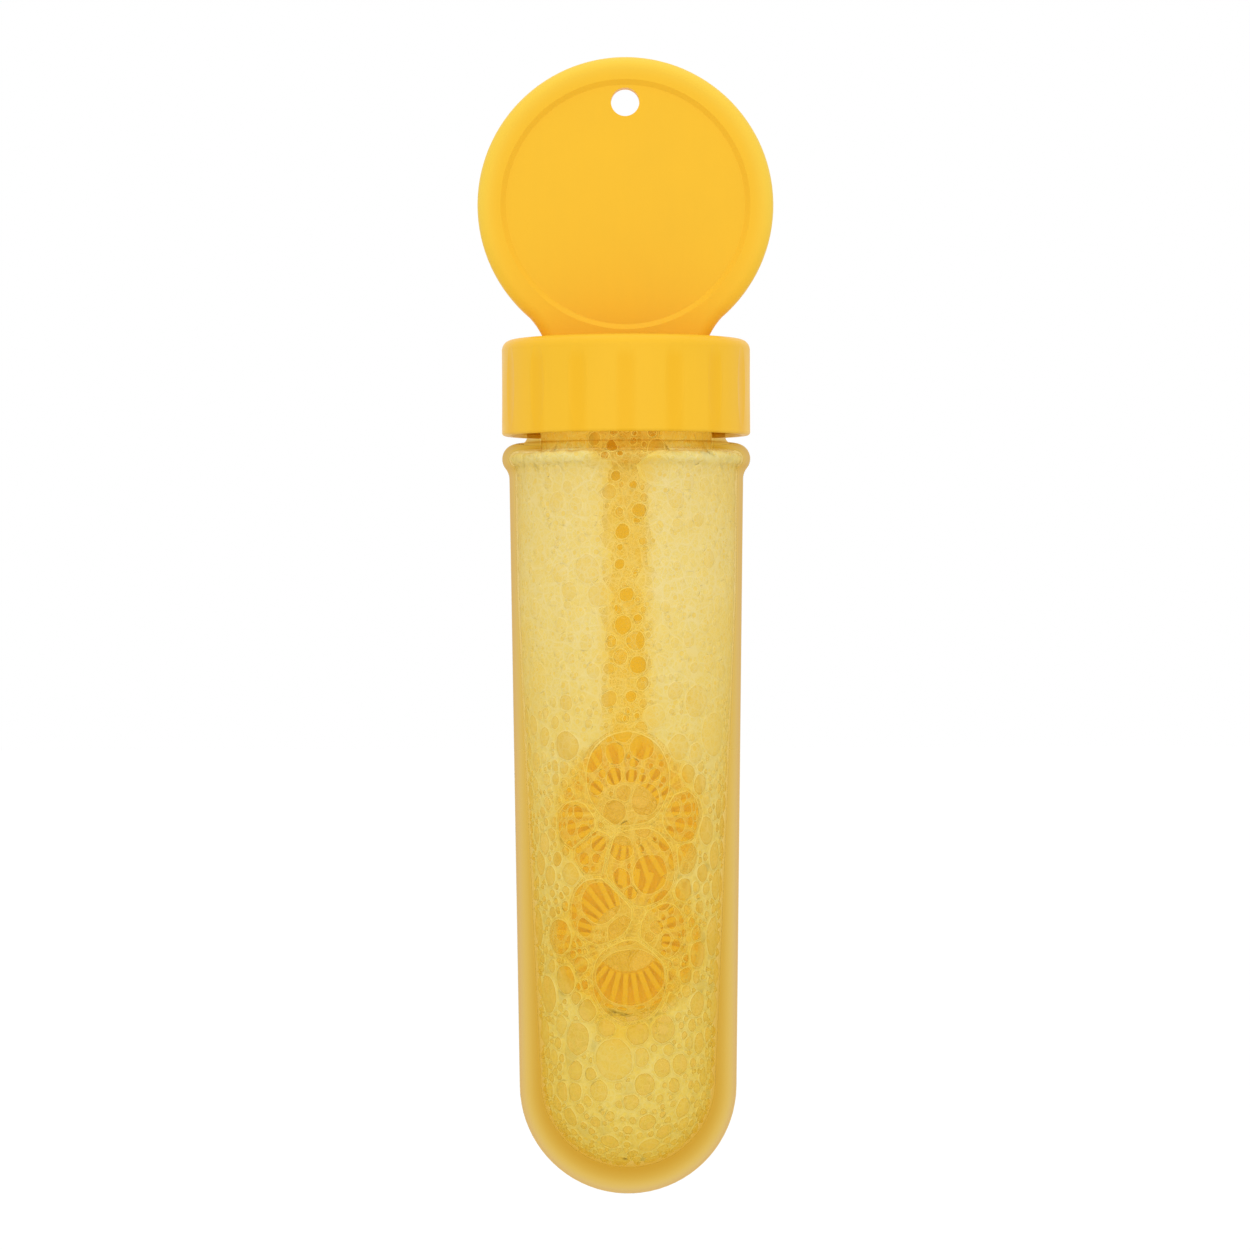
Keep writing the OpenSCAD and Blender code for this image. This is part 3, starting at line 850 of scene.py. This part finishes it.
class FoamMesh:
    """Points and faces of the foam's cells, with the kind, cover and tone of each face."""

    # How deep a cell's parts lie, in shares of the relief's depth.
    corner, rim, film_rim, film_top, fine_top = 1.0, 0.85, 0.65, 0.05, 0.25
    # A bubble's least radius in millimetres, its number of sides and the rings of its film.
    sides = ((1.9, 40, (0.88, 0.6, 0.3)), (0.9, 22, (0.8, 0.45)), (0.0, 11, (0.8, 0.45)))
    # Width of an outline, what a millimetre of radius adds to it, and the share of it in the well.
    base_width, more_width, well_width = 0.85, 0.08, 0.55
    # Least way to a cell's edge, in outlines, and the shares of the way that film and rim may take.
    least_room, film_room, rim_room = 2.2, 0.99, 0.993
    # How closely a bubble that meets its cell's edge follows it.
    squareness = 8

    def __init__(self, skin, outline):
        self.skin, self.outline = skin, outline
        self.spots, self.faces, self.marks = [], [], []

    def points(self, cell, spots, sunk):
        """Numbers of new points at spots about a cell's middle."""
        first = len(self.spots)
        self.spots += [(cell.angle + x, cell.along + y, sunk) for x, y in spots]
        return list(range(first, len(self.spots)))

    def face(self, corners, kind, cell):
        """One face, and its marks for the shader."""
        self.faces.append(tuple(corners))
        cover = cell.cover if kind >= FILM or not cell.window else cell.fine_cover
        self.marks.append((kind, cover, cell.tone))

    def band(self, outer, inner, kind, cell):
        """Quads between two rings of equal number."""
        for i in range(len(outer)):
            self.face((outer[i - 1], outer[i], inner[i], inner[i - 1]), kind, cell)

    def fan(self, ring, sunk, kind, cell):
        """Triangles from a ring to the cell's middle."""
        middle = self.points(cell, [(0.0, 0.0)], sunk)[0]
        for i in range(len(ring)):
            self.face((ring[i - 1], ring[i], middle), kind, cell)

    def zipped(self, outer, outer_angles, inner, inner_angles, kind, cell):
        """Triangles between two rings whose angles both start at the same one and rise."""
        n, m, i, j = len(outer), len(inner), 0, 0
        full = outer_angles[0] + 2 * math.pi
        while i < n or j < m:
            ahead_i = outer_angles[i + 1] if i + 1 < n else full
            ahead_j = inner_angles[j + 1] if j + 1 < m else full
            a, b = outer[i % n], inner[j % m]
            if j >= m or (i < n and ahead_i <= ahead_j):
                i += 1
                self.face((a, outer[i % n], b), kind, cell)
            else:
                j += 1
                self.face((a, inner[j % m], b), kind, cell)

    def add(self, cell, corners, shape):
        """One cell: a patch of fine foam, or a bubble's film with its outline and fine foam round it."""
        outer = self.points(cell, corners, self.corner)
        big = cell.radius / MM
        count, shares = next((n, rings) for least, n, rings in self.sides if big > least)
        start = math.atan2(corners[0][1], corners[0][0])
        angles = start + np.arange(count) * 2 * math.pi / count
        wall = wall_distance(corners, angles) if cell.window else None
        width = self.outline * (self.base_width + self.more_width * big) * cell.flat / cell.radius
        if cell.along > self.skin.along[self.skin.rim_row]:
            width *= self.well_width
        if wall is None or wall.min() < self.least_room * width:
            self.fan(outer, self.fine_top, FINE, cell)
            return
        aspect, tilt = shape
        lean = angles - tilt
        oval = cell.flat / np.sqrt(np.cos(lean) ** 2 * aspect + np.sin(lean) ** 2 / aspect)
        inside = self.film_room * wall - width
        film = (oval ** -self.squareness + inside ** -self.squareness) ** (-1 / self.squareness)
        rim = np.minimum(film + width, self.rim_room * wall)
        flat = np.stack([np.cos(angles), np.sin(angles)], axis=1)
        rim_ring = self.points(cell, rim[:, None] * flat, self.rim)
        ring = self.points(cell, film[:, None] * flat, self.film_rim)
        turns = [start + (math.atan2(y, x) - start) % (2 * math.pi) for x, y in corners]
        turns[0] = start
        self.zipped(outer, turns, rim_ring, list(angles), FINE, cell)
        self.band(rim_ring, ring, OUTLINE, cell)
        kind = FILM_EDGE
        for share in shares:
            sunk = between(self.film_rim, self.film_top, 1 - share ** 2)
            following = self.points(cell, share * film[:, None] * flat, sunk)
            self.band(ring, following, kind, cell)
            ring, kind = following, FILM
        self.fan(ring, self.film_top, FILM, cell)

    def piece(self, name, material):
        """Closed, welded mesh of all cells, which rides on the bottle."""
        weld = 0.002 * MM
        angles, alongs, sunk = np.array(self.spots).T
        places = self.skin.place(angles, alongs, sunk)
        mesh = bpy.data.meshes.new(name)
        mesh.from_pydata(places.tolist(), [], self.faces)
        in_well = alongs > self.skin.along[self.skin.rim_row]
        kinds, covers, tones = np.array(self.marks).T
        # Painted orange glow at each point.
        painted_glows = painted_wand_glow(places[:, 0], places[:, 2], in_well)
        fields = {"kind": kinds, "cover": covers, "tone": tones, "glow": painted_glows}
        for label, values in fields.items():
            domain = "POINT" if label == "glow" else "FACE"
            field = mesh.attributes.new("foam_" + label, "FLOAT", domain)
            field.data.foreach_set("value", np.array(values, dtype=np.float32))
        shape = bmesh.new()
        shape.from_mesh(mesh)
        bmesh.ops.remove_doubles(shape, verts=shape.verts, dist=weld)
        bmesh.ops.holes_fill(shape, edges=[e for e in shape.edges if e.is_boundary], sides=0)
        shape.to_mesh(mesh)
        shape.free()
        mesh.shade_smooth()
        return ride_piece(mesh, material, "bottle")


class BOTTLE_OT_stage(bpy.types.Operator):
    """Sets the camera, the soft light, the pale floor and the white surroundings"""

    bl_idname = "bottle.stage"
    bl_label = "Stage"

    def execute(self, context):
        stage = settings("bottle_stage")
        scene = context.scene
        scene.view_settings.view_transform = "Standard"

        sensor, aside = 36, -0.2 * MM
        lens = bpy.data.cameras.new("picture camera")
        lens.sensor_width = sensor
        lens.lens = sensor * stage.distance / stage.span
        lens.clip_start = 0.01
        camera = new_object("picture camera", lens)
        turn = Matrix.Rotation(math.pi / 2, 4, "X") @ Matrix.Rotation(stage.roll, 4, "Z")
        camera.matrix_world = Matrix.Translation((aside, -stage.distance, stage.height)) @ turn
        scene.camera = camera

        world = bpy.data.worlds.new("white surroundings")
        world.use_nodes = True
        tree = world.node_tree
        tree.nodes.clear()
        shown = self.seen_directly(tree)
        soft, white = (
            add_node(tree, "Background", {"Color": (1, 1, 1, 1), "Strength": strength})[0]
            for strength in (stage.dome, 1.0)
        )
        follow("OutputWorld", {"Surface": mixed(shown, soft, white)})
        scene.world = world

        self.lamp("top lamp", stage.top, size=0.5, place=(0.0, -0.1, 0.52), target=(0, 0, 0.08))
        self.lamp("front lamp", stage.front, size=0.9, place=(0.0, -0.8, 0.02), target=(0, 0, 0.07))

        floor_mesh = bpy.data.meshes.new("floor")
        wide, near, low = 6.0, -0.4, -stage.floor_drop
        paleness, glow_strength = 0.86, 0.25
        corners = [(-wide, near, low), (wide, near, low), (wide, wide, low), (-wide, wide, low)]
        floor_mesh.from_pydata(corners, [], [(0, 1, 2, 3)])
        material, tree = new_material("pale floor")
        shown = self.seen_directly(tree)
        pale = add_node(tree, "BsdfDiffuse", {"Color": (paleness, paleness, paleness, 1)})
        strength = times(shown, glow_strength)
        glow = follow("Emission", {"Color": (1, 1, 1, 1), "Strength": strength})
        total = follow("AddShader", {0: pale[0], 1: glow[0]})
        follow("OutputMaterial", {"Surface": total[0]})
        floor_mesh.materials.append(material)
        floor = new_object("floor", floor_mesh)
        return {"FINISHED"}

    @staticmethod
    def seen_directly(tree):
        """1 on rays from the camera, in reflections and through clear plastic."""
        path = add_node(tree, "LightPath")
        either = maths("MAXIMUM", path["Is Camera Ray"], path["Is Glossy Ray"])
        return maths("MAXIMUM", either, path["Is Transmission Ray"])

    @staticmethod
    def lamp(name, power, size, place, target):
        """Square lamp that faces a target and isn't seen itself."""
        light = bpy.data.lights.new(name, "AREA")
        light.energy, light.size = power, size
        piece = new_object(name, light)
        piece.location = place
        piece.rotation_euler = (Vector(target) - Vector(place)).to_track_quat("-Z", "Y").to_euler()
        piece.visible_camera = piece.visible_transmission = False


# Height of the lip over which its wall is measured, the way from it down to a thread, and a margin.
LIP_BAND, THREAD_DROP, MARGIN = 1.2 * MM, 2.0 * MM, 0.1 * MM


class BOTTLE_OT_tube(bpy.types.Operator):
    """Gives the tube its clear amber plastic and its neck a screw thread"""

    bl_idname = "bottle.tube"
    bl_label = "Clear tube"

    def execute(self, context):
        threads = settings("bottle_threads")
        material = clear_material()
        dress("tube", material)
        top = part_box("tube")[1][2]
        wall = ring_radius("tube", top - LIP_BAND, top - MARGIN, max)
        start = top - THREAD_DROP - threads.pitch * threads.turns
        thread_piece(
            "neck_thread", wall, 1, threads.turns, start, material, "bottle"
        )
        return {"FINISHED"}


class BOTTLE_OT_cap(bpy.types.Operator):
    """Gives the cap and its tag their yellow plastic and the cap its inner thread"""

    bl_idname = "bottle.cap"
    bl_label = "Screw cap"

    def execute(self, context):
        threads = settings("bottle_threads")
        material = cap_material()
        dress("screw_cap", material)
        seal_gap, foot_gap, lower_turns, fewer_turns = 0.15 * MM, 0.2 * MM, 0.5, 0.2
        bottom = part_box("screw_cap")[0][2]
        seal_low, seal_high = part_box("seal_washer")
        mouth = seal_high[0] + seal_gap
        start = seal_low[2] - THREAD_DROP - threads.pitch * (threads.turns + lower_turns)
        if start - threads.width / 2 < bottom:
            start = bottom + threads.width / 2 + foot_gap
        turns = threads.turns - fewer_turns
        thread_piece("cap_thread", mouth, -1, turns, start, material, "cap")
        return {"FINISHED"}


class BOTTLE_OT_wand(bpy.types.Operator):
    """Gives the wand its orange plastic and the seal its soft white"""

    bl_idname = "bottle.wand"
    bl_label = "Wand and seal"

    def execute(self, context):
        plastics = settings("bottle_plastics")
        dress("bubble_wand", moulded_material("orange plastic", plastics.wand_colour, plastics.gloss))
        soft = moulded_material("seal foam", plastics.seal_colour, roughness=0.7, mottle=0.08, bump=0.06)
        dress("seal_washer", soft)
        return {"FINISHED"}


class BOTTLE_OT_foam(bpy.types.Operator):
    """Fills the tube with soap foam: bubbles at the wall, fine foam between, and a well for the wand"""

    bl_idname = "bottle.foam"
    bl_label = "Soap foam"

    # Bubbles seen at the front: way to the right of the axis, height and radius in millimetres.
    FRONT = (
        (0.1, 48.4, 5.8), (-6.1, 43.2, 2.9), (6.5, 44.0, 3.1), (-3.9, 40.0, 2.9), (6.9, 39.3, 2.0),
        (1.6, 38.4, 4.9), (-3.3, 33.3, 4.2), (4.3, 31.0, 3.4), (-8.2, 30.2, 2.2), (0.2, 25.3, 5.1),
        (8.4, 28.2, 1.6), (-7.5, 25.3, 1.8), (-6.1, 18.6, 2.0), (8.4, 22.4, 1.6),
        (1.5, 79.1, 0.9), (-0.5, 76.7, 0.9), (0.0, 69.4, 0.9), (-0.4, 66.1, 1.1), (-2.1, 57.6, 1.0),
        (1.3, 61.5, 1.0), (-0.8, 72.9, 0.6),
    )

    # Bubbles of the well behind them, through which the wand is seen.
    BEHIND = (
        (0.3, 24.7, 4.4), (-3.3, 41.0, 1.0), (-4.9, 39.2, 0.8), (-6.4, 42.8, 0.9), (-4.9, 42.3, 1.0),
        (-5.6, 44.5, 0.8), (2.6, 37.5, 2.4), (-0.6, 37.0, 1.2), (-3.2, 34.2, 2.6), (3.3, 31.4, 0.9),
        (5.0, 31.9, 0.8), (4.3, 29.8, 0.8), (5.5, 44.9, 0.8), (6.9, 44.9, 0.9), (6.0, 43.0, 0.9),
        (7.2, 43.3, 0.7), (-1.5, 44.6, 1.5), (2.1, 46.1, 1.9),
        (-1.5, 48.7, 1.0), (0.5, 48.8, 0.8), (-3.5, 47.4, 0.9),
        (1.2, 79.0, 1.3), (-0.6, 76.6, 1.2), (0.0, 69.3, 1.3), (-0.4, 66.0, 1.4), (-1.7, 57.5, 1.2),
        (-1.4, 51.4, 1.3), (1.7, 52.0, 1.5), (1.1, 61.4, 1.2), (-0.6, 72.8, 0.9),
    )

    # Smallest and largest radius in millimetres, tries, and the share kept low on the wall, high on
    # the wall and in the well, then whether the bubbles are clear.
    SIZES = (
        (2.4, 3.6, 420, 0.3, 0.02, 0.0, True),
        (1.2, 2.3, 2200, 0.6, 0.04, 1.0, True),
        (0.5, 1.2, 9000, 0.9, 0.2, 1.0, True),
        (0.3, 0.5, 12000, 0.8, 0.25, 0.8, True),
        (0.7, 1.0, 30000, 1.0, 1.0, 0.7, False),
    )

    def execute(self, context):
        foam = settings("bottle_foam")
        pole_r, stretch, tilt = 0.8 * MM, 0.35, 0.6
        chance = random.Random(foam.seed)
        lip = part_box("tube")[1][2]
        neck_r = ring_radius("tube", lip - LIP_BAND, lip + MARGIN, min) - MARGIN
        skin = FoamSkin(pole_r, neck_r, foam.neck_rise, foam.low_relief, foam.relief)
        placed = [(*spot, False) for spot in self.FRONT] + [(*spot, True) for spot in self.BEHIND]
        grid = scatter_cells(chance, skin, placed, self.SIZES, foam.film_cover)
        mesh = FoamMesh(skin, foam.outline)
        for cell in grid.cells:
            corners = cell_corners(cell, grid, 0.0, skin.along[-1])
            shape = (1 + stretch * chance.random(), chance.uniform(-tilt, tilt))
            if len(corners) > 2:
                mesh.add(cell, corners, shape)
        piece = mesh.piece("foam_body", foam_material())
        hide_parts("soap_foam")
        return {"FINISHED"}


class BOTTLE_PT_pieces(bpy.types.Panel):
    """Lists the pieces and what a user may change"""

    bl_idname = "BOTTLE_PT_pieces"
    bl_label = "Bubble Bottle"
    bl_space_type = "VIEW_3D"
    bl_region_type = "UI"
    bl_category = "Bubble Bottle"

    def draw(self, context):
        """One button for each operator, then every property by group."""
        for operator in OPERATORS:
            self.layout.operator(operator.bl_idname)
        for name in GROUPS:
            group = settings(name)
            box = self.layout.box()
            box.label(text=name.replace("_", " ").capitalize())
            for key in group.__annotations__:
                box.prop(group, key)


GROUPS = {
    "bottle_plastics": BottlePlastics,
    "bottle_threads": BottleThreads,
    "bottle_foam": BottleFoam,
    "bottle_stage": BottleStage,
}
OPERATORS = (BOTTLE_OT_stage, BOTTLE_OT_tube, BOTTLE_OT_cap, BOTTLE_OT_wand, BOTTLE_OT_foam)
CLASSES = (*GROUPS.values(), *OPERATORS, BOTTLE_PT_pieces)


def register():
    """Adds the classes and the scene's property groups."""
    for each in CLASSES:
        bpy.utils.register_class(each)
    for name, group in GROUPS.items():
        setattr(bpy.types.Scene, name, PointerProperty(type=group))


def unregister():
    """Takes out what register added."""
    for name in GROUPS:
        delattr(bpy.types.Scene, name)
    for each in reversed(CLASSES):
        bpy.utils.unregister_class(each)


def main():
    """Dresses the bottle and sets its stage."""
    register()
    bpy.ops.bottle.stage()
    bpy.ops.bottle.tube()
    bpy.ops.bottle.cap()
    bpy.ops.bottle.wand()
    bpy.ops.bottle.foam()


if __name__ == "__main__":
    main()
